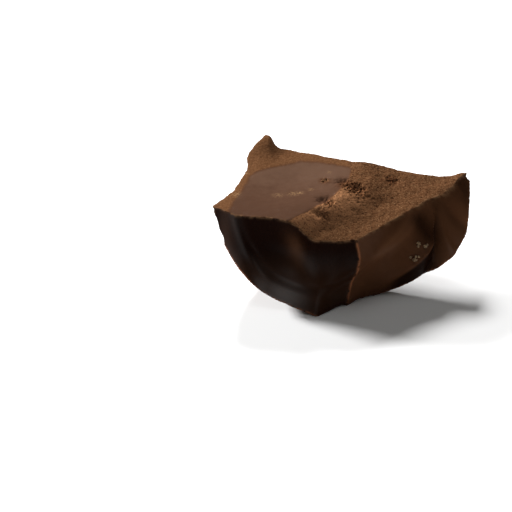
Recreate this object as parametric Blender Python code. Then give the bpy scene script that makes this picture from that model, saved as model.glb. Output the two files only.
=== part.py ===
"""A chunk broken from a thick bar of dark chocolate, as one solid.

The chunk is what is left of a lump with a rounded, moulded underside after five
breaks: a rough fracture across the top, and four walls, each a shell-shaped break.
Every break is a cutter with one sculpted face, and the chunk is the lump less all of
them. Sizes are in millimetres until a mesh is made. X runs along the chunk, Y runs
from its front corner to its back, and Z is up from the surface that it lies on.
"""

import math

import bmesh
import bpy
from mathutils import Matrix, Vector, noise

MM = 0.001

# The four corners of the top rim, seen from above
FRONT = (2.0, -16.9)
RIGHT = (29.8, 9.4)
PEAK = (-18.1, 22.7)
LEFT = (-31.2, -8.5)

# The lump: a barrel that lies along Y, whose lower half is the moulded underside
LUMP_CENTRE = (-1.0, -5.4, 20.5)
LUMP_LEFT_WIDTH = 30.3
LUMP_RIGHT_WIDTH = 32.2
LUMP_HALF_HEIGHT = 21.3
LUMP_HALF_LENGTH = 90.0
LUMP_ENDS = (-30.0, 28.0)
LUMP_SEGMENTS = 110
LUMP_RINGS = 24

# The top fracture: its height at the front corner, and its rise towards the back
TOP_AT_FRONT = 16.6
TOP_RISE = 0.075

# The horns of the top at PEAK and RIGHT: their height, and how far the one at PEAK reaches
# to the left, to the right and along Y
HORN = 2.1
PEAK_FLANKS = (5.5, 2.2)
PEAK_LENGTH = 5.0

# The ledge that curves across the top, and falls away to the right of its edge
LEDGE_X = 1.8
LEDGE_Y = 12.2
LEDGE_SWEEP = 0.022
LEDGE_HEIGHTS = (3.6, 2.1)
LEDGE_FALLS = (9.5, 14.0)

# Holes torn in the rough side of the ledge: x, y, depth and radius
PITS = (
    (-5.0, -4.6, 1.3, 1.9),
    (-6.8, -10.2, 0.8, 1.6),
    (3.0, 2.4, 1.5, 2.0),
    (-0.4, 4.6, 0.9, 1.5),
    (12.9, 8.3, 0.6, 1.6),
)

# How far each wall's rim stands out from the straight line between its two corners,
# as distances along the wall and outwards
FRONT_RIM = ((0, 0), (9, 0.5), (19, 2.2), (25, 3.2), (29, 2.2), (34.2, 0))
SIDE_RIM = ((0, 0), (10, -0.1), (22, -1.0), (31, -0.7), (38.3, 0))
BACK_RIM = ((0, 0), (8, -0.2), (20, 0.2), (28, -2.6), (34, -2.3), (40, -1.7), (47, -1.8), (49.7, 0))
LEFT_RIM = ((0, 0), (6.7, 2.0), (14, 0), (24.5, -1.1), (33.7, 0))

# Below this height the back leans in steeply on the right, and less on the left
BACK_EDGE = 18.2
BACK_LEANS = (1.25, 0.15)

# How far the wall from FRONT to RIGHT flares out below its rim: along the facet, up to
# FLARE_END, it grows with the square of the distance, and the lobe has its own spread, as
# distances along the wall and outwards in 10 of height
FLARE = 0.0042
FLARE_END = 18.6
LOBE_SPREAD = ((15, 5.0), (19, 8.6), (23, 12.8), (28, 18.0), (33, 16.5), (39, 10.0))

# Spacing of the points of a sculpted face, and how far a cutter reaches past its wall
STEP = 1.15
MARGIN = 14.0
REACH = 45.0

# Points this close are one point
SLIVER = 0.03

# Chocolate as a broken, unglazed surface shows it
COLOUR = (0.085, 0.042, 0.02, 1.0)
ROUGHNESS = 0.5


def ease(low, high, value):
    """0 up to low, 1 from high, and a smooth rise between them."""
    t = min(max((value - low) / (high - low), 0.0), 1.0)
    return t * t * (3 - 2 * t)


def mix(a, b, share):
    return a + (b - a) * share


def hump(distance, width):
    """A rounded hump of height 1, a few widths across."""
    return math.exp(-((distance / width) ** 2))


def crags(x, y, seed, size, octaves=3):
    """Broken relief from about -1 to 1, with lumps of this size."""
    return noise.fractal(Vector((x / size, y / size, seed)), 0.9, 2.1, octaves)


def bend(points, value):
    """The line through these points, rounded at each of them."""
    for (low, start), (high, end) in zip(points, points[1:]):
        if value < high:
            return mix(start, end, ease(low, high, value))
    return points[-1][1]


def ledge(y):
    """Where the edge of the ledge lies, at this y."""
    return LEDGE_X - LEDGE_SWEEP * (LEDGE_Y - y) ** 2


def top_height(x, y):
    """Height of the top fracture over the point x, y."""
    height = TOP_AT_FRONT + TOP_RISE * (y - FRONT[1])
    back = ease(-14, 12, y)
    lift = mix(*LEDGE_HEIGHTS, back)
    fall = mix(*LEDGE_FALLS, back)
    height += lift * ease(fall, -0.6, x - ledge(y))
    height -= 0.6 * hump(math.dist((x, y), (-13, 3)), 8.0)
    for pit_x, pit_y, depth, radius in PITS:
        height -= depth * hump(math.dist((x, y), (pit_x, pit_y)), radius)
    flank = PEAK_FLANKS[1] if x > PEAK[0] else PEAK_FLANKS[0]
    height += HORN * hump(math.hypot((x - PEAK[0]) / flank, (y - PEAK[1]) / PEAK_LENGTH), 1.0)
    height += HORN * hump(math.dist((x, y), RIGHT), 4.0)
    rough = ease(-0.5, 0.5, x - ledge(y))
    height += 0.3 * crags(x, y, 1.7, 5.0) * mix(0.2, 1.0, rough)
    return height


def front_wall(along, height):
    """Outward relief of the wall from LEFT to FRONT: a scoop below an overhanging rim."""
    radius = math.hypot(along - 24.2, (height - 25.0) / 1.155)
    spread = ease(0.5, 15, along) * mix(1.0, 0.2, ease(26, 33, along))
    scoop = (0.05 * max(radius - 8.0, 0.0) ** 2 - 0.35) * spread
    rim_height = mix(20.6, 16.7, ease(20, 27, along))
    rim = bend(FRONT_RIM, along) * ease(rim_height - 15, rim_height - 1, height)
    hollow = -0.8 * hump(along - 19.0, 8.0) * hump(height - 13.0, 6.0)
    ring = 0.2 * (hump(radius - 18.7, 0.7) - hump(radius - 17.5, 0.7))
    return scoop + rim + hollow + ring


def valley(height):
    """Where the valley of the wall from FRONT to RIGHT lies, at this height."""
    return 15.0 + 0.52 * height


def side_wall(along, height):
    """Outward relief of the wall from FRONT to RIGHT, which flares more and more.

    A crease runs up it from the front foot, and is undercut. To the right of a
    valley stands a lobe.
    """
    rim = bend(SIDE_RIM, along)
    crease = 0.75 * along - 1.9
    rim_height = 17.0 + 0.06 * along
    depth = max(rim_height - max(height, crease), 0.0)
    facet = rim + FLARE * min(max(along, 0.0), FLARE_END) ** 2 * depth
    facet -= 0.25 * max(crease - height, 0.0)
    facet += 1.1 * hump(along, 5.0) * hump(height - 11.5, 3.6)
    facet += 0.35 * hump(height - 8.1 - 0.475 * along, 1.5)
    facet -= 0.8 * hump(along - 18.8, 2.6) * hump(height - 14.5, 4.0)
    spread = bend(LOBE_SPREAD, along)
    lobe = rim + spread * max(rim_height - height, 0.0) / 10
    return mix(facet, lobe, ease(-0.4, 1.6, along - valley(height)))


def back_wall(along, height):
    """Outward relief of the wall from RIGHT to PEAK: a shell-shaped, undercut hollow."""
    radius = math.hypot(along - 27.0, height - 27.0)
    ripple = 0.15 * math.sin(radius * 0.9 + 0.1 * along)
    hollow = -1.0 * hump(along - 24.0, 11.0) * hump(height - 9.0, 6.0)
    lean = mix(*BACK_LEANS, ease(16, 42, along)) * max(BACK_EDGE - height, 0.0)
    return bend(BACK_RIM, along) - lean - 0.16 * (20.0 - height) + ripple + hollow


def left_wall(along, height):
    """Outward relief of the wall from PEAK to LEFT: rough, and leaning in to its foot."""
    hollow = -1.2 * hump(along - 19.0, 8.0) * hump(height - 9.5, 6.0)
    rough = crags(along, height, 8.1, 6.0) * mix(0.6, 0.15, ease(12, 20, height))
    return bend(LEFT_RIM, along) - 0.35 * (20.5 - height) + hollow + rough


def plan_frame(start, end):
    """Axes of an upright wall: along it, up, and outwards, with its origin at start."""
    along = Vector((end[0] - start[0], end[1] - start[1], 0)).normalized()
    up = Vector((0, 0, 1))
    out = along.cross(up)
    frame = Matrix((along, up, out)).transposed().to_4x4()
    frame.translation = Vector((start[0], start[1], 0))
    return frame


def sculpted_cutter(name, frame, spans, relief, bend_of_columns=None):
    """A block whose near face follows relief(u, v), and which reaches outwards from there.

    Where the relief has a long step, the columns of points follow it.
    """
    (u_low, u_high), (v_low, v_high) = spans
    columns = round((u_high - u_low) / STEP)
    rows = round((v_high - v_low) / STEP)
    mesh = bmesh.new()

    def layer(place):
        grid = []
        for j in range(rows + 1):
            v = mix(v_low, v_high, j / rows)
            shift = bend_of_columns(v) if bend_of_columns else 0.0
            line = [shift + mix(u_low, u_high, i / columns) for i in range(columns + 1)]
            grid.append([mesh.verts.new(place(u, v)) for u in line])
        return grid

    near = layer(lambda u, v: (u, v, relief(u, v)))
    far = layer(lambda u, v: (u, v, REACH))
    for j in range(rows):
        for i in range(columns):
            a, b = near[j][i], near[j][i + 1]
            c, d = near[j + 1][i + 1], near[j + 1][i]
            mesh.faces.new((d, c, b, a))
            a, b = far[j][i], far[j][i + 1]
            c, d = far[j + 1][i + 1], far[j + 1][i]
            mesh.faces.new((a, b, c, d))
    rim = [(0, i) for i in range(columns)]
    rim += [(j, columns) for j in range(rows)]
    rim += [(rows, i) for i in range(columns, 0, -1)]
    rim += [(j, 0) for j in range(rows, 0, -1)]
    for (j, i), (q, p) in zip(rim, rim[1:] + rim[:1]):
        mesh.faces.new((near[j][i], near[q][p], far[q][p], far[j][i]))
    mesh.transform(Matrix.Scale(MM, 4) @ frame)
    return helper(name, mesh)


def helper(name, mesh):
    """An object made of this mesh that only cuts, and is never part of the model."""
    cutter = object_of(name, mesh)
    cutter.hide_render = True
    cutter.display_type = "WIRE"
    return cutter


def object_of(name, mesh):
    data = bpy.data.meshes.new(name)
    mesh.to_mesh(data)
    mesh.free()
    made = bpy.data.objects.new(name, data)
    bpy.context.scene.collection.objects.link(made)
    return made


def make_lump():
    mesh = bmesh.new()
    x, middle, z = LUMP_CENTRE
    hoops = []
    for j in range(LUMP_RINGS + 1):
        y = mix(*LUMP_ENDS, j / LUMP_RINGS)
        swell = math.sqrt(1 - ((y - middle) / LUMP_HALF_LENGTH) ** 2)
        hoop = []
        for i in range(LUMP_SEGMENTS):
            turn = math.tau * i / LUMP_SEGMENTS
            width = LUMP_RIGHT_WIDTH if math.sin(turn) > 0 else LUMP_LEFT_WIDTH
            lumpy = swell + 0.012 * crags(width * math.sin(turn), y, 5.3, 9.0)
            across = x + width * lumpy * math.sin(turn)
            up = z + LUMP_HALF_HEIGHT * lumpy * math.cos(turn)
            hoop.append(mesh.verts.new((across, y, up)))
        hoops.append(hoop)
    for near, far in zip(hoops, hoops[1:]):
        for i in range(LUMP_SEGMENTS):
            k = (i + 1) % LUMP_SEGMENTS
            mesh.faces.new((near[i], near[k], far[k], far[i]))
    mesh.faces.new(reversed(hoops[0]))
    mesh.faces.new(hoops[-1])
    mesh.transform(Matrix.Scale(MM, 4))
    return object_of("chocolate_chunk", mesh)


def make_floor_cutter():
    """The block below the flat spot that the chunk lies on."""
    mesh = bmesh.new()
    size = Matrix.Diagonal((200, 200, 20, 1))
    place = Matrix.Scale(MM, 4) @ Matrix.Translation((0, 0, -10)) @ size
    bmesh.ops.create_cube(mesh, size=1, matrix=place)
    return helper("cut_flat_spot", mesh)


def make_cutters():
    cutters = [make_floor_cutter()]
    spans = ((-40, 62), (-32, 32))
    cutters.append(
        sculpted_cutter("cut_top", Matrix(), spans, top_height, lambda y: max(ledge(y), -20))
    )
    walls = {
        "cut_front": (LEFT, FRONT, front_wall, None),
        "cut_side": (FRONT, RIGHT, side_wall, lambda z: valley(z) - 22),
        "cut_back": (RIGHT, PEAK, back_wall, None),
        "cut_left": (PEAK, LEFT, left_wall, None),
    }
    for name, (start, end, relief, columns) in walls.items():
        spans = ((-MARGIN, math.dist(start, end) + MARGIN), (-3, 29))
        frame = plan_frame(start, end)
        cutters.append(sculpted_cutter(name, frame, spans, relief, columns))
    return cutters


def chocolate():
    material = bpy.data.materials.new("dark_chocolate")
    material.use_nodes = True
    shader = material.node_tree.nodes["Principled BSDF"]
    shader.inputs["Base Color"].default_value = COLOUR
    shader.inputs["Roughness"].default_value = ROUGHNESS
    shader.inputs["Metallic"].default_value = 0.0
    material.diffuse_color = COLOUR
    return material


def island(start):
    """All the points that are joined to this one."""
    found = {start}
    waiting = [start]
    while waiting:
        for edge in waiting.pop().link_edges:
            for point in edge.verts:
                if point not in found:
                    found.add(point)
                    waiting.append(point)
    return found


def finish(chunk):
    """Apply the cuts, close up the slivers that they leave, and keep the one body."""
    mesh = bmesh.new()
    mesh.from_object(chunk, bpy.context.evaluated_depsgraph_get())
    bmesh.ops.triangulate(mesh, faces=mesh.faces)
    bmesh.ops.remove_doubles(mesh, verts=mesh.verts, dist=SLIVER * MM)
    bmesh.ops.dissolve_degenerate(mesh, edges=mesh.edges, dist=SLIVER * MM)
    body = island(max(mesh.verts, key=lambda point: point.co.z))
    scraps = [point for point in mesh.verts if point not in body]
    bmesh.ops.delete(mesh, geom=scraps, context="VERTS")
    bmesh.ops.triangulate(mesh, faces=mesh.faces)
    chunk.modifiers.clear()
    mesh.to_mesh(chunk.data)
    mesh.free()
    chunk.data.shade_smooth()
    chunk.data.set_sharp_from_angle(angle=math.radians(30))


def main():
    for old in list(bpy.data.objects):
        bpy.data.objects.remove(old)
    chunk = make_lump()
    chunk.data.materials.append(chocolate())
    cutters = make_cutters()
    for cutter in cutters:
        cut = chunk.modifiers.new(cutter.name, "BOOLEAN")
        cut.operation = "DIFFERENCE"
        cut.solver = "MANIFOLD"
        cut.object = cutter
    bpy.context.view_layer.update()
    finish(chunk)
    for cutter in cutters:
        bpy.data.objects.remove(cutter)


main()
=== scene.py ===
"""The looks of a chunk broken from a thick bar of dark chocolate.

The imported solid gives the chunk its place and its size. The chunk that is shown is broken
out of the same lump by the same five breaks, with the grain, flakes and worn rims that a
solid of few faces leaves out. Its pits are more ragged and shallower than the solid's, as
at full depth they look too dark. Lengths are in millimetres until a mesh is finished.
"""

import math

import bmesh
import bpy
import numpy as np
from mathutils import Matrix, Vector, noise


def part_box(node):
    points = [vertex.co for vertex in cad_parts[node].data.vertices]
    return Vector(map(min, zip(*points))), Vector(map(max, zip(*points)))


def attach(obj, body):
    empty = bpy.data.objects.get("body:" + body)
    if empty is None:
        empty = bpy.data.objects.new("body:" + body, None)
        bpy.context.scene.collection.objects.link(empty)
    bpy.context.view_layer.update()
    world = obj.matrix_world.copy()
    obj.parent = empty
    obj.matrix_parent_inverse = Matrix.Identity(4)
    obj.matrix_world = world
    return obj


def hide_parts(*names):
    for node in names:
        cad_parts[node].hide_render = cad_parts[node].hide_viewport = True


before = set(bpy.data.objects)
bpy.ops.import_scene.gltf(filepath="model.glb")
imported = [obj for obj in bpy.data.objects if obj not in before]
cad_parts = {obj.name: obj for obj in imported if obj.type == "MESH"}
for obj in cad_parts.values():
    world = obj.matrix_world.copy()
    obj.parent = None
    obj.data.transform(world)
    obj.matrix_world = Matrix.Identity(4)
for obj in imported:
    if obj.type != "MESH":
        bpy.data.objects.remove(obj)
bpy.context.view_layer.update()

# The chunk: one piece of solid dark chocolate. A bar is cast in a mould, which leaves its
# underside smooth and rounded, and is broken up by hand or with a pick. Each break starts
# at the pick: there it is glossy and shell-shaped, and it ends rough and grainy.

MM = 0.001

# The corners of its top rim, seen from above
FRONT = (2.0, -16.9)
RIGHT = (29.8, 9.4)
PEAK = (-18.1, 22.7)
LEFT = (-31.2, -8.5)


def ease(low, high, value):
    """0 up to low, 1 from high, and a smooth rise between them."""
    t = np.clip((value - low) / (high - low), 0.0, 1.0)
    return t * t * (3 - 2 * t)


def mix(a, b, share):
    return a + (b - a) * share


def hump(distance, width):
    """A rounded hump of height 1, a few widths across."""
    return np.exp(-((distance / width) ** 2))


def crags(x, y, seed, size, octaves=3):
    """Broken relief from about -1 to 1, with lumps of this size."""
    x, y = np.broadcast_arrays(np.asarray(x, float), np.asarray(y, float))
    places = zip((x / size).ravel().tolist(), (y / size).ravel().tolist())
    values = [noise.fractal((a, b, seed), 0.9, 2.1, octaves) for a, b in places]
    return np.array(values).reshape(x.shape)


def bend(points, value):
    """The line through these points, rounded at each of them."""
    line = np.full(np.shape(value), float(points[-1][1]))
    for (low, start), (high, end) in reversed(list(zip(points, points[1:]))):
        line = np.where(value < high, mix(start, end, ease(low, high, value)), line)
    return line


def spot(x, y, place, radius):
    """A round hump about this place."""
    return hump(np.hypot(x - place[0], y - place[1]), radius)


# The moulded underside belongs to a barrel that lies along Y
LUMP_CENTRE = (-1.0, -5.4, 20.5)
LUMP_LEFT_WIDTH = 30.3
LUMP_RIGHT_WIDTH = 32.2
LUMP_HALF_HEIGHT = 21.3
LUMP_HALF_LENGTH = 90.0
LUMP_ENDS = (-29.0, 27.5)
LUMP_STEP = 0.55


def lump_swell(x, y):
    """How wide the barrel is here, as a share of its middle."""
    swell = np.sqrt(1 - ((y - LUMP_CENTRE[1]) / LUMP_HALF_LENGTH) ** 2)
    return swell + 0.012 * crags(x - LUMP_CENTRE[0], y, 5.3, 9.0)


def make_lump():
    middle_x, _, middle_z = LUMP_CENTRE
    rings = round((LUMP_ENDS[1] - LUMP_ENDS[0]) / LUMP_STEP)
    segments = round(math.tau * LUMP_RIGHT_WIDTH * 0.8 / LUMP_STEP)
    y, turn = np.meshgrid(
        np.linspace(*LUMP_ENDS, rings + 1),
        np.arange(segments) * math.tau / segments,
        indexing="ij",
    )
    width = np.where(np.sin(turn) > 0, LUMP_RIGHT_WIDTH, LUMP_LEFT_WIDTH)
    swell = lump_swell(middle_x + width * np.sin(turn), y)
    x = middle_x + width * swell * np.sin(turn)
    z = middle_z + LUMP_HALF_HEIGHT * swell * np.cos(turn)
    points = np.stack((x, y, z), -1).reshape(-1, 3)
    number = np.arange(len(points)).reshape(y.shape)
    near, far = number[:-1], number[1:]
    sides = np.stack((near, np.roll(near, -1, 1), np.roll(far, -1, 1), far), -1)
    caps = [number[0, ::-1].tolist(), number[-1].tolist()]
    return mesh_object("chocolate_chunk_shown", points, sides.reshape(-1, 4).tolist() + caps)


def mesh_object(name, points, faces):
    data = bpy.data.meshes.new(name)
    data.from_pydata((points * MM).tolist(), [], faces)
    made = bpy.data.objects.new(name, data)
    bpy.context.scene.collection.objects.link(made)
    return made


# The top: a rough fracture with a ledge that curves across it
TOP_AT_FRONT = 16.6
TOP_RISE = 0.075
HORN = 2.1
PEAK_FLANKS = (5.5, 2.2)
PEAK_LENGTH = 5.0
LEDGE_X = 1.8
LEDGE_Y = 12.2
LEDGE_SWEEP = 0.022
LEDGE_HEIGHTS = (3.6, 2.1)
LEDGE_FALLS = (9.5, 14.0)

# Holes torn in it: x, y, depth and radius
PITS = (
    (-5.0, -4.6, 1.3, 1.9),
    (-6.8, -10.2, 0.8, 1.6),
    (3.0, 2.4, 1.5, 2.0),
    (-0.4, 4.6, 0.9, 1.5),
    (12.9, 8.3, 0.6, 1.6),
)

# How much of a pit's depth and radius is shown, and how far its edge strays
PIT_DEPTH_SHOWN = 0.6
PIT_RADIUS_SHOWN = 0.8
PIT_STRAY = 0.6

# Where it is torn into flakes: x, y and radius
TORN = (
    (3.2, 1.4, 3.0),
    (0.6, 3.4, 2.0),
    (-3.8, -5.6, 1.7),
    (-5.2, -9.6, 1.4),
    (-4.6, 5.2, 1.1),
    (11.5, 8.5, 1.6),
)


# Pale chips and specks that lie on the smooth patch and at its left rim: x, y and radius
CHIPS = (
    (-26.0, -2.6, 0.9),
    (-25.4, -1.6, 0.7),
    (-23.5, 8.7, 0.6),
    (-15.9, -1.9, 1.0),
    (-12.4, -0.9, 1.1),
    (-10.6, -0.5, 0.8),
    (-8.1, 1.0, 0.6),
    (-4.7, 5.4, 0.8),
    (-3.5, 9.2, 0.5),
)


def ledge(y):
    """Where the edge of the ledge lies, at this y."""
    return LEDGE_X - LEDGE_SWEEP * (LEDGE_Y - y) ** 2


def torn(x, y):
    return np.clip(sum(spot(x, y, (a, b), radius) for a, b, radius in TORN), 0, 1)


def smear(x, y):
    """1 on the patch that the pick's blade smeared smooth, left of the ledge."""
    ragged = 0.7 * crags(x, y, 12.6, 3.0)
    below_arc = ease(0.9, -1.1, y + ragged - 14.0 + 0.03 * (x + 8.4) ** 2)
    off_rim = ease(-0.4, 0.9, x - 0.5 * ragged + 23.3 - 0.27 * (y - 5.2))
    on_ledge = ease(0.35, -0.35, x - ledge(y) + 0.3 * ragged)
    return below_arc * off_rim * on_ledge * (1 - torn(x, y))


def top_height(x, y):
    """Height of the top fracture over the point x, y."""
    height = TOP_AT_FRONT + TOP_RISE * (y - FRONT[1])
    back = ease(-14, 12, y)
    lift = mix(*LEDGE_HEIGHTS, back)
    fall = mix(*LEDGE_FALLS, back)
    height += lift * ease(fall, -0.6, x - ledge(y))
    height -= 0.6 * spot(x, y, (-13, 3), 8.0)
    ragged_x = x + PIT_STRAY * crags(x, y, 21.3, 1.1, 3)
    ragged_y = y + PIT_STRAY * crags(x, y, 25.1, 1.1, 3)
    for pit_x, pit_y, depth, radius in PITS:
        pit = spot(ragged_x, ragged_y, (pit_x, pit_y), PIT_RADIUS_SHOWN * radius)
        height -= PIT_DEPTH_SHOWN * depth * pit
    flank = np.where(x > PEAK[0], PEAK_FLANKS[1], PEAK_FLANKS[0])
    height += HORN * hump(np.hypot((x - PEAK[0]) / flank, (y - PEAK[1]) / PEAK_LENGTH), 1.0)
    height += HORN * spot(x, y, RIGHT, 4.0)
    rough = ease(-0.5, 0.5, x - ledge(y))
    height += 0.22 * crags(x, y, 1.7, 5.0) * mix(0.2, 1.0, rough)
    return height


def top_grain(x, y):
    """The grain of the top fracture, added to its height."""
    bare = (1 - smear(x, y)) * mix(0.45, 1.0, ease(-0.5, 0.5, x - ledge(y)))
    grain = 0.02 * crags(x, y, 3.3, 1.9, 2) + 0.06 * crags(x, y, 8.8, 0.5, 1)
    holes = np.clip(crags(x, y, 4.4, 0.8, 2) - 0.35, 0, 1)
    flakes = np.abs(crags(x, y, 6.1, 0.9, 3)) - 0.25
    return mix(0.08, 1.0, bare) * grain - 0.25 * bare * holes - 0.8 * torn(x, y) * flakes


# The front: from LEFT to FRONT, a glossy scoop below an overhanging rim
FRONT_RIM = ((0, 0), (9, 0.5), (19, 2.2), (25, 3.2), (29, 2.2), (34.2, 0))


def front_break(along, height):
    radius = np.hypot(along - 24.2, (height - 25.0) / 1.155)
    spread = ease(0.5, 15, along) * mix(1.0, 0.2, ease(26, 33, along))
    scoop = (0.05 * np.maximum(radius - 8.0, 0.0) ** 2 - 0.35) * spread
    rim_height = mix(20.6, 16.7, ease(20, 27, along))
    rim = bend(FRONT_RIM, along) * ease(rim_height - 15, rim_height - 1, height)
    hollow = -0.8 * hump(along - 19.0, 8.0) * hump(height - 13.0, 6.0)
    ring = 0.2 * (hump(radius - 18.7, 0.7) - hump(radius - 17.5, 0.7))
    return scoop + rim + hollow + ring


def front_ripples(along, height):
    radius = np.hypot(along - 24.2, (height - 25.0) / 1.155)
    fan = np.arctan2(height - 25.0, along - 24.2)
    return 0.02 * crags(radius * 0.6, fan * 1.5, 2.4, 1.0, 2)


# The side: from FRONT to RIGHT, with a crease, a hollow, and a lobe that flares at its foot
SIDE_RIM = ((0, 0), (10, -0.1), (22, -1.0), (31, -0.7), (38.3, 0))
FLARE = 0.0042
FLARE_END = 18.6
LOBE_SPREAD = ((15, 5.0), (19, 8.6), (23, 12.8), (28, 18.0), (33, 16.5), (39, 10.0))


def valley(height):
    """Where the valley beside the lobe lies, at this height."""
    return 15.0 + 0.52 * height


def side_break(along, height):
    rim = bend(SIDE_RIM, along)
    crease = 0.75 * along - 1.9
    rim_height = 17.0 + 0.06 * along
    depth = np.maximum(rim_height - np.maximum(height, crease), 0.0)
    facet = rim + FLARE * np.clip(along, 0.0, FLARE_END) ** 2 * depth
    facet = facet - 0.25 * np.maximum(crease - height, 0.0)
    facet = facet + 1.1 * hump(along, 5.0) * hump(height - 11.5, 3.6)
    facet = facet + 0.35 * hump(height - 8.1 - 0.475 * along, 1.5)
    facet = facet - 0.8 * hump(along - 18.8, 2.6) * hump(height - 14.5, 4.0)
    spread = bend(LOBE_SPREAD, along)
    lobe = rim + spread * np.maximum(rim_height - height, 0.0) / 10
    return mix(facet, lobe, ease(-0.4, 1.6, along - valley(height)))


def side_drag(along, height):
    """Faint drag lines, which climb the facet towards the right."""
    lines = 0.035 * crags(height - 0.45 * along, along * 0.12, 7.7, 1.3, 2)
    return lines + 0.02 * crags(along, height, 5.9, 0.8, 2)


# The back: from RIGHT to PEAK, a glossy shell-shaped hollow
BACK_RIM = (
    (0, 0),
    (8, -0.2),
    (20, 0.2),
    (28, -2.6),
    (34, -2.3),
    (40, -1.7),
    (47, -1.8),
    (49.7, 0),
)
BACK_EDGE = 18.2
BACK_LEANS = (1.25, 0.15)


def back_break(along, height):
    radius = np.hypot(along - 27.0, height - 27.0)
    ripple = 0.15 * np.sin(radius * 0.9 + 0.1 * along)
    hollow = -1.0 * hump(along - 24.0, 11.0) * hump(height - 9.0, 6.0)
    lean = mix(*BACK_LEANS, ease(16, 42, along)) * np.maximum(BACK_EDGE - height, 0.0)
    return bend(BACK_RIM, along) - lean - 0.16 * (20.0 - height) + ripple + hollow


def back_ripples(along, height):
    radius = np.hypot(along - 27.0, height - 27.0)
    return 0.05 * crags(radius, along * 0.1, 3.1, 1.6, 2) + 0.03 * crags(along, height, 9.4, 1.1)


# The left: from PEAK to LEFT, rough, and leaning in to its foot
LEFT_RIM = ((0, 0), (6.7, 2.0), (14, 0), (24.5, -1.1), (33.7, 0))


def left_break(along, height):
    hollow = -1.2 * hump(along - 19.0, 8.0) * hump(height - 9.5, 6.0)
    rough = crags(along, height, 8.1, 6.0) * mix(0.6, 0.15, ease(12, 20, height))
    return bend(LEFT_RIM, along) - 0.35 * (20.5 - height) + hollow + rough


def left_grain(along, height):
    grain = 0.14 * crags(along, height, 6.3, 1.9, 2) + 0.1 * crags(along, height, 2.2, 0.6, 2)
    holes = np.clip(crags(along, height, 7.4, 1.3, 2) - 0.28, 0, 1)
    return grain - 0.4 * holes


class Wall:
    """One upright break: where it runs, its relief, its grain, and how finely it is cut."""

    def __init__(self, start, end, relief, grain, step, columns=None):
        along = Vector((end[0] - start[0], end[1] - start[1], 0)).normalized()
        out = along.cross(Vector((0, 0, 1)))
        self.axes = np.array((along, (0, 0, 1), out))
        self.start = np.array((start[0], start[1], 0.0))
        self.length = math.dist(start, end)
        self.relief, self.grain, self.step, self.columns = relief, grain, step, columns

    def surface(self, along, height):
        return self.relief(along, height) + self.grain(along, height)

    def place(self, points):
        """Where these points lie: along the break, up it, and outwards."""
        return ((points - self.start) @ self.axes.T).T

    def distance(self, points):
        """How far these points lie inside the break."""
        along, height, out = self.place(points)
        return self.relief(along, height) - out


WALLS = {
    "front": Wall(LEFT, FRONT, front_break, front_ripples, 0.33),
    "side": Wall(FRONT, RIGHT, side_break, side_drag, 0.3, lambda z: valley(z) - 22),
    "back": Wall(RIGHT, PEAK, back_break, back_ripples, 0.4),
    "left": Wall(PEAK, LEFT, left_break, left_grain, 0.3),
}
WALL_MARGIN = 14.0
WALL_HEIGHTS = (-3.0, 29.0)
TOP_SPANS = ((-40, 52), (-30, 29))
TOP_STEP = 0.24
REACH = 45.0


def make_cutter(name, spans, step, surface, columns=None, axes=None, start=None):
    """A block whose near face follows surface(u, v), and which reaches outwards from there."""
    u_count, v_count = (round((high - low) / step) + 1 for low, high in spans)
    v, u = np.meshgrid(
        np.linspace(*spans[1], v_count), np.linspace(*spans[0], u_count), indexing="ij"
    )
    if columns:
        u = u + columns(v)
    near = np.stack((u, v, surface(u, v)), -1).reshape(-1, 3)
    far = np.stack((u, v, np.full(u.shape, REACH)), -1).reshape(-1, 3)
    points = np.concatenate((near, far))
    if axes is not None:
        points = points @ axes + start
    number = np.arange(u.size).reshape(u.shape)
    a, b, c, d = number[:-1, :-1], number[:-1, 1:], number[1:, 1:], number[1:, :-1]
    near_faces = np.stack((d, c, b, a), -1).reshape(-1, 4)
    far_faces = np.stack((a, b, c, d), -1).reshape(-1, 4) + u.size
    rim = np.concatenate(
        (number[0, :-1], number[:-1, -1], number[-1, :0:-1], number[:0:-1, 0])
    )
    following = np.roll(rim, -1)
    sides = np.stack((rim, following, following + u.size, rim + u.size), -1)
    faces = np.concatenate((near_faces, far_faces, sides))
    return mesh_object(name, points, faces.tolist())


def break_chunk():
    """The lump less its five breaks and the flat spot that it lies on."""
    chunk = make_lump()
    floor = mesh_object("flat_spot_cutter", np.zeros((0, 3)), [])
    block = bmesh.new()
    place = Matrix.Translation((0, 0, -10 * MM)) @ Matrix.Diagonal((0.2, 0.2, 20 * MM, 1))
    bmesh.ops.create_cube(block, size=1, matrix=place)
    block.to_mesh(floor.data)
    block.free()
    cutters = [floor]
    cutters.append(
        make_cutter(
            "top_cutter",
            TOP_SPANS,
            TOP_STEP,
            lambda x, y: top_height(x, y) + top_grain(x, y),
            lambda y: np.maximum(ledge(y), -10),
        )
    )
    for name, wall in WALLS.items():
        spans = ((-WALL_MARGIN, wall.length + WALL_MARGIN), WALL_HEIGHTS)
        cutters.append(
            make_cutter(
                name + "_cutter",
                spans,
                wall.step,
                wall.surface,
                wall.columns,
                wall.axes,
                wall.start,
            )
        )
    for cutter in cutters:
        cut = chunk.modifiers.new(cutter.name, "BOOLEAN")
        cut.operation = "DIFFERENCE"
        cut.solver = "MANIFOLD"
        cut.object = cutter
    bpy.context.view_layer.update()
    mesh = bmesh.new()
    mesh.from_object(chunk, bpy.context.evaluated_depsgraph_get())
    chunk.modifiers.clear()
    for cutter in cutters:
        bpy.data.objects.remove(cutter)
    bmesh.ops.triangulate(mesh, faces=mesh.faces)
    bmesh.ops.remove_doubles(mesh, verts=mesh.verts, dist=0.02 * MM)
    bmesh.ops.dissolve_degenerate(mesh, edges=mesh.edges, dist=0.02 * MM)
    bmesh.ops.triangulate(mesh, faces=mesh.faces)
    mesh.to_mesh(chunk.data)
    mesh.free()
    return chunk


chunk = break_chunk()


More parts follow.
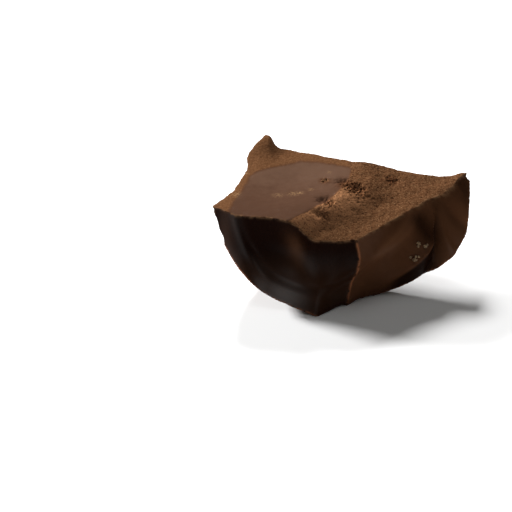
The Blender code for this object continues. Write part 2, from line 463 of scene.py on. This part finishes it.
def read_points(data):
    points = np.empty(len(data.vertices) * 3)
    data.vertices.foreach_get("co", points)
    return points.reshape(-1, 3) / MM


def underside_distance(points):
    """How far these points lie inside the moulded underside."""
    x, y, z = (points - np.array(LUMP_CENTRE) * (1, 0, 1)).T
    width = np.where(x > 0, LUMP_RIGHT_WIDTH, LUMP_LEFT_WIDTH)
    radius = np.hypot(x / width, z / LUMP_HALF_HEIGHT)
    level = lump_swell(x + LUMP_CENTRE[0], y) - radius
    steepness = np.hypot(x / width**2, z / LUMP_HALF_HEIGHT**2) / np.maximum(radius, 0.1)
    return level / steepness


# Which break each point lies on, and how near it is to the rim where two breaks meet
points = read_points(chunk.data)
gaps = {name: np.abs(wall.distance(points)) for name, wall in WALLS.items()}
gaps["top"] = np.abs(top_height(points[:, 0], points[:, 1]) - points[:, 2]) * 0.8
gaps["under"] = np.abs(underside_distance(points))
gaps["spot"] = points[:, 2]
names = list(gaps)
stacked = np.array([gaps[name] for name in names])
ranked = np.sort(stacked, axis=0)
rim_gap = ranked[1]
on = {}
for row, name in enumerate(names):
    nearest_other = np.min(np.delete(stacked, row, 0), axis=0)
    on[name] = ease(0.25, -0.25, gaps[name] - nearest_other)

# Rims crumble a little: they lose small chips, and are rounded over
CHIP_SIZE = 1.1
CHIP_DEPTH = 0.15
ROUNDING_PASSES = 2
SHARP_ANGLE = math.radians(38)

data = chunk.data
edges = np.empty(len(data.edges) * 2, np.int64)
data.edges.foreach_get("vertices", edges)
edges = edges.reshape(-1, 2)
normals = np.empty(len(data.vertices) * 3)
data.vertices.foreach_get("normal", normals)
normals = normals.reshape(-1, 3)
chip_noise = np.array([noise.fractal(p, 0.9, 2.1, 3) for p in (points / CHIP_SIZE).tolist()])
chips = np.clip(chip_noise - 0.05, 0, 1) * hump(rim_gap, 0.55)
points = points - normals * (CHIP_DEPTH * chips)[:, None] * (points[:, 2:] > 0.05)
links = np.bincount(edges.ravel(), minlength=len(points))[:, None]
near_rim = hump(rim_gap, 0.4)[:, None]
for _ in range(ROUNDING_PASSES):
    total = np.zeros_like(points)
    for axis in range(3):
        total[:, axis] = np.bincount(
            edges.ravel(), points[edges[:, ::-1].ravel(), axis], minlength=len(points)
        )
    points = mix(points, total / links, 0.5 * near_rim)

# It fills the same box as its solid
low, high = (np.array(corner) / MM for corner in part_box("chocolate_chunk"))
size = points.max(0) - points.min(0)
points = low + (points - points.min(0)) * (high - low) / size
data.vertices.foreach_set("co", (points * MM).ravel())
data.update()
data.shade_smooth()
data.set_sharp_from_angle(angle=SHARP_ANGLE)


def mark(name, values):
    """Keeps a number at each point of the chunk, for its finish to read."""
    data.attributes.new(name, "FLOAT", "POINT").data.foreach_set(
        "value", np.clip(values, 0, 1).astype(np.float32)
    )


x, y, z = points.T
smeared = on["top"] * smear(x, y)
mark("grainy", on["top"] * (1 - smear(x, y)) + on["left"])
mark("smeared", smeared)
mark("glossy", on["front"] + on["back"])
mark("satin", on["side"])

# How the gloss of each break varies, and where painted shade and painted light lie in its colour
along, height, _ = WALLS["front"].place(points)
low_front = ease(13, 4, height) * ease(27.5, 22.5, along)
# Painted highlights on the front: a band at its left end and a soft glow under the rim
left_band_highlight = hump(along - 3.0, 2.6) * ease(4, 12, height)
glow_highlight = hump(along - 19.8 - 0.25 * (14 - height), 2.3) * hump(height - 12.5, 4.5)
ring = np.hypot(along - 24.2, (height - 25.0) / 1.155)
outside_ring = hump(ring - 19.1, 1.3) * ease(30, 24, along)
gloss = 0.3 * low_front + 0.7 * low_front * ease(7, 2, height) + 0.05 * ease(15, 11, height)
gloss = on["front"] * (gloss + 0.05 * left_band_highlight + 0.14 * outside_ring)
# Painted shade: the front darkens towards its top under the overhanging rim, less in the glow and
# the left band
deep = on["front"] * ease(4, 13, height) * (1 - glow_highlight) * (1 - 0.3 * left_band_highlight)
pale = on["front"] * np.maximum(0.38 * glow_highlight, 0.08 * left_band_highlight)
along, height, _ = WALLS["side"].place(points)
lobe_side = ease(-0.5, 2.0, along - valley(height))
# A painted highlight along the diagonal streak of the side's facet
streak_highlight = hump(height - 8.1 - 0.475 * along, 1.2) * ease(3, 8, along) * (1 - lobe_side)
crease_height = 0.75 * along - 1.9
undercut = ease(0.2, 1.6, crease_height - height) * (1 - lobe_side) * ease(6, 11, along)
hollow = hump(along - 18.8, 2.4) * ease(10.5, 13, height) * ease(18.5, 15.5, height)
lobe_foot = lobe_side * ease(12.5, 7, height)
# A painted highlight in a strip beside the lobe's valley
lobe_strip_highlight = hump(along - valley(height) - 2.2, 1.3) * ease(5, 8, height) * ease(18, 15, height)
gloss = gloss + on["side"] * (0.03 + 0.32 * lobe_foot + 0.08 * streak_highlight - 0.03 * undercut)
# Painted shade in the side's undercut band below the crease, in its hollow, and at the top of the
# lobe
deep = deep + on["side"] * np.maximum(undercut, 0.8 * hollow)
deep = deep + on["side"] * 0.3 * lobe_side * ease(13, 17, height)
# Painted light: the side lighter all over, more on the lower lobe, the streak and the strip
pale = pale + on["side"] * (0.36 + streak_highlight + 0.75 * lobe_side * ease(15, 11, height))
pale = pale + on["side"] * 0.8 * lobe_strip_highlight
below_ledge = x - ledge(y)
# Painted light on the rough slope just below the ledge, which faces away from the lamps
sheltered = ease(-0.5, 1.5, below_ledge) * ease(11, 4, below_ledge) * ease(5, -3, y)
# Painted shade on the rough top, more of it further right of the ledge; the left break is darker
# all over
deep = deep + on["top"] * 0.27 * ease(3, 14, below_ledge) + 0.45 * on["left"]
gloss = gloss + 0.25 * on["back"] + 0.2 * (on["under"] + on["spot"]) + 0.25 * smeared
mark("gloss", gloss + 0.04 * (on["top"] + on["left"]))
mark("deep", deep)
mark("pale", pale)
mark("rim", hump(rim_gap, 0.3) * (gaps["top"] < 1.5))
# Painted highlight along the lower lips and the front-to-side edge, where they catch the light
lips = (("front", "side"), ("front", "under"), ("side", "under"))
lip_gap = np.min([np.hypot(gaps[a], gaps[b]) for a, b in lips], axis=0)
mark("lip", hump(lip_gap, 0.26) * (gaps["top"] > 0.5))
mark("torn", on["top"] * torn(x, y))
mark("chips", on["top"] * sum(spot(x, y, (a, b), radius) for a, b, radius in CHIPS))
mark("crumbly", on["top"] * ease(-0.5, 0.5, x - ledge(y)) + 0.6 * on["left"])
mark("sheltered", on["top"] * sheltered)
# Painted sheen: the smooth patch lighter towards the back
mark("dusty", smeared * ease(-6, 13, y))


class Socket:
    """A socket of a shader's node, so that the sums done on it read as sums."""

    def __init__(self, tree, socket):
        self.tree = tree
        self.socket = socket

    def node(self, kind, settings=(), inputs=(), output=0):
        """The output of a new node: its settings are set first, then its sockets."""
        made = self.tree.nodes.new("ShaderNode" + kind)
        for name, value in dict(settings).items():
            if name == "stops":
                ramp = made.color_ramp
                while len(ramp.elements) < len(value):
                    ramp.elements.new(1.0)
                for element, (place, colour) in zip(ramp.elements, value):
                    element.position = place
                    element.color = colour
            else:
                setattr(made, name, value)
        for name, value in dict(inputs).items():
            if isinstance(value, Socket):
                self.tree.links.new(value.socket, made.inputs[name])
            else:
                made.inputs[name].default_value = value
        return Socket(self.tree, made.outputs[output])

    def sum(self, operation, first, second):
        return self.node("Math", {"operation": operation}, {0: first, 1: second})

    def __add__(self, other):
        return self.sum("ADD", self, other)

    __radd__ = __add__

    def __sub__(self, other):
        return self.sum("SUBTRACT", self, other)

    def __rsub__(self, other):
        return self.sum("SUBTRACT", other, self)

    def __mul__(self, other):
        return self.sum("MULTIPLY", self, other)

    __rmul__ = __mul__

    def between(self, low, high):
        """0 where this is below low, 1 where it is above high."""
        settings = {"interpolation_type": "SMOOTHSTEP"}
        return self.node("MapRange", settings, {0: self, 1: low, 2: high})

    def tint(self, first, second):
        """The first colour where this is 0, and the second where it is 1."""
        settings = {"data_type": "RGBA"}
        return self.node("Mix", settings, {0: self, 6: first, 7: second}, output=2)


def colour(red, green, blue):
    return (red, green, blue, 1.0)


def chocolate():
    material = bpy.data.materials.new("dark_chocolate")
    material.use_nodes = True
    tree = material.node_tree
    shader = tree.nodes["Principled BSDF"]
    start = Socket(tree, None)
    place = start.node("TexCoord", output=3)

    def marked(name):
        return start.node("Attribute", {"attribute_name": name}, output=2)

    def speckle(size, detail=2.0, roughness=0.5):
        inputs = {
            "Vector": place,
            "Scale": 1 / (size * MM),
            "Detail": detail,
            "Roughness": roughness,
        }
        return start.node("TexNoise", inputs=inputs)

    grainy, smeared, glossy, satin = (
        marked(name) for name in ("grainy", "smeared", "glossy", "satin")
    )
    rim, lip, torn_here, crumbly = (
        marked(name) for name in ("rim", "lip", "torn", "crumbly")
    )
    fine, grit = speckle(0.42, 3.0), speckle(0.28, 1.0)
    coarse, broad = speckle(1.5, 3.0), speckle(9.0)

    # Bulk chocolate, the pale crumb of the rough breaks, and the film on the smooth patch, whose
    # lighter grey is partly painted sheen
    base = broad.between(0.35, 0.65).tint(
        colour(0.05, 0.0195, 0.0085), colour(0.064, 0.0255, 0.0115)
    )
    crumb = start.node(
        "ValToRGB",
        {
            "stops": (
                (0.36, colour(0.07, 0.03, 0.0125)),
                (0.5, colour(0.094, 0.042, 0.0185)),
                (0.64, colour(0.125, 0.059, 0.0272)),
            )
        },
        {"Fac": fine * 0.6 + grit * 0.4},
    )
    # Painted light: the crumb turned paler on the shaded slope below the ledge
    crumb = (marked("sheltered") * 0.8).tint(crumb, colour(0.34, 0.16, 0.074))
    base = grainy.tint(base, crumb)
    base = (crumbly * grit.between(0.58, 0.7) * 0.5).tint(base, colour(0.26, 0.15, 0.075))
    base = (crumbly * fine.between(0.45, 0.35) * 0.65).tint(base, colour(0.03, 0.01, 0.004))
    # The smooth patch's film, greyer and lighter towards the back with painted sheen
    film_and_sheen = (0.8 * marked("dusty") + 0.6 * (coarse + broad) - 0.5).between(0, 1).tint(
        colour(0.055, 0.0268, 0.016), colour(0.085, 0.046, 0.029)
    )
    base = smeared.tint(base, film_and_sheen)
    base = glossy.tint(base, colour(0.028, 0.0115, 0.0058))
    # Painted light: the glow, bands and streaks, and the side, turned a lighter brown
    base = (marked("pale") * 0.75).tint(base, colour(0.13, 0.055, 0.025))
    # Painted shade: the colour darkened towards near black
    base = (marked("deep") * 0.92).tint(base, colour(0.0055, 0.0014, 0.0006))
    torn_dark = torn_here * (0.2 + 0.5 * fine.between(0.66, 0.44))
    base = torn_dark.tint(base, colour(0.046, 0.015, 0.0062))
    chipped = marked("chips") * fine.between(0.46, 0.6)
    base = (chipped * 0.8).tint(base, colour(0.21, 0.125, 0.062))
    bare_rim = rim * coarse.between(0.35, 0.6)
    base = (bare_rim * 0.7).tint(base, colour(0.16, 0.085, 0.043))
    # A painted highlight: a thin tan line along the lips
    lip_glint = lip * coarse.between(0.36, 0.54)
    base = lip_glint.tint(base, colour(0.22, 0.083, 0.037))
    tree.links.new(base.socket, shader.inputs["Base Color"])

    rough = 0.42 + 0.35 * grainy + 0.06 * smeared - 0.14 * glossy + 0.2 * bare_rim
    rough = rough + 0.1 * (coarse - 0.5)
    tree.links.new(rough.socket, shader.inputs["Roughness"])

    grains = (fine * 0.7 + grit * 0.3) * (0.4 * grainy + 0.7 * crumbly + 0.1 * smeared)
    height = grains + 0.15 * satin * coarse
    bumps = start.node(
        "Bump", inputs={"Strength": 0.6, "Distance": 0.2 * MM, "Height": height}
    )
    tree.links.new(bumps.socket, shader.inputs["Normal"])
    shader.inputs["IOR"].default_value = 1.5
    shader.inputs["Specular IOR Level"].default_value = 0.01
    shader.inputs["Coat IOR"].default_value = 1.5
    shader.inputs["Coat Roughness"].default_value = 0.32
    tree.links.new(marked("gloss").socket, shader.inputs["Coat Weight"])
    return material


data.materials.clear()
data.materials.append(chocolate())
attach(chunk, "root")
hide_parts("chocolate_chunk")

# Crumbs: a few grains of the same chocolate that fell when the chunk was broken off, and
# cling to its side.

# Where they cling: how far along the side, how high, and how large
CLINGING = (
    (15.4, 12.0, 0.5),
    (15.0, 11.5, 0.34),
    (16.3, 11.3, 0.4),
    (16.9, 11.6, 0.26),
    (13.1, 8.8, 0.5),
    (12.7, 9.4, 0.32),
    (13.6, 9.5, 0.34),
    (14.1, 9.4, 0.3),
)


def make_crumbs():
    side = WALLS["side"]
    crumbs = bmesh.new()
    for along, height, radius in CLINGING:
        out = float(side.surface(along, height)) + 0.3 * radius
        middle = np.array((along, height, out)) @ side.axes + side.start
        place = Matrix.Translation(Vector(middle) * MM)
        made = bmesh.ops.create_icosphere(crumbs, subdivisions=3, radius=radius * MM, matrix=place)
        for vertex in made["verts"]:
            away = vertex.co - place.translation
            lumps = noise.fractal(vertex.co / (0.45 * MM), 0.9, 2.1, 2)
            vertex.co += away * 0.55 * lumps
    data = bpy.data.meshes.new("chocolate_crumbs")
    crumbs.to_mesh(data)
    crumbs.free()
    made = bpy.data.objects.new("chocolate_crumbs", data)
    bpy.context.scene.collection.objects.link(made)
    return made


def pale_crumb():
    material = bpy.data.materials.new("pale_crumb")
    material.use_nodes = True
    tree = material.node_tree
    shader = tree.nodes["Principled BSDF"]
    start = Socket(tree, None)
    place = start.node("TexCoord", output=3)
    patches = start.node("TexNoise", inputs={"Vector": place, "Scale": 1 / (0.3 * MM)})
    tan = patches.between(0.35, 0.65).tint(colour(0.11, 0.062, 0.03), colour(0.27, 0.18, 0.095))
    tree.links.new(tan.socket, shader.inputs["Base Color"])
    shader.inputs["Roughness"].default_value = 0.7
    return material


crumbs = make_crumbs()
crumbs.data.materials.append(pale_crumb())
crumbs.data.shade_smooth()
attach(crumbs, "root")

# The table: a plain white sheet, much wider than the picture.

TABLE_HALF = 1.5
table = mesh_object(
    "table",
    np.array([(-1, -1, 0), (1, -1, 0), (1, 1, 0), (-1, 1, 0)]) * TABLE_HALF / MM,
    [(0, 1, 2, 3)],
)
paper = bpy.data.materials.new("white_table")
paper.use_nodes = True
paper.node_tree.nodes["Principled BSDF"].inputs["Base Color"].default_value = colour(0.8, 0.8, 0.8)
paper.node_tree.nodes["Principled BSDF"].inputs["Roughness"].default_value = 0.9
table.data.materials.append(paper)

# The light: a lamp behind the chunk and one low at its left, a wide weak one overhead, a
# card in front that only the glossy breaks reflect, and the dim room all round.


def lamp(name, place, target, width, power):
    light = bpy.data.lights.new(name, "AREA")
    light.shape = "DISK"
    light.size = width
    light.energy = power
    made = bpy.data.objects.new(name, light)
    made.location = place
    made.rotation_euler = (Vector(target) - Vector(place)).to_track_quat("-Z", "Y").to_euler()
    bpy.context.scene.collection.objects.link(made)
    made.visible_glossy = False
    return made


lamp("back_lamp", (-0.14, 1.14, 0.82), (0, 0, 0), 0.3, 36.0)
lamp("left_lamp", (-1.1, 0.688, 0.524), (0, 0, 0), 0.3, 52.0)
lamp("top_lamp", (0.0, 0.1, 1.3), (0, 0, 0), 1.0, 2.2)
front_card = lamp("front_card", (0.1, -0.9, 1.0), (0, 0, 0), 0.8, 1.6)
front_card.visible_glossy = True
front_card.visible_diffuse = False
room = bpy.data.worlds.new("room")
room.use_nodes = True
room.node_tree.nodes["Background"].inputs["Color"].default_value = colour(1.0, 0.97, 0.91)
room.node_tree.nodes["Background"].inputs["Strength"].default_value = 0.08
bpy.context.scene.world = room
bpy.context.scene.view_settings.view_transform = "Standard"

# The camera: a long lens, 30 degrees above the table.

camera = bpy.data.objects.new("camera", bpy.data.cameras.new("camera"))
camera.data.lens = 120
camera.data.sensor_width = 36
camera.location = (-0.021082, -0.35703, 0.208758)
camera.rotation_euler = (math.radians(60), 0, 0)
bpy.context.scene.collection.objects.link(camera)
bpy.context.scene.camera = camera
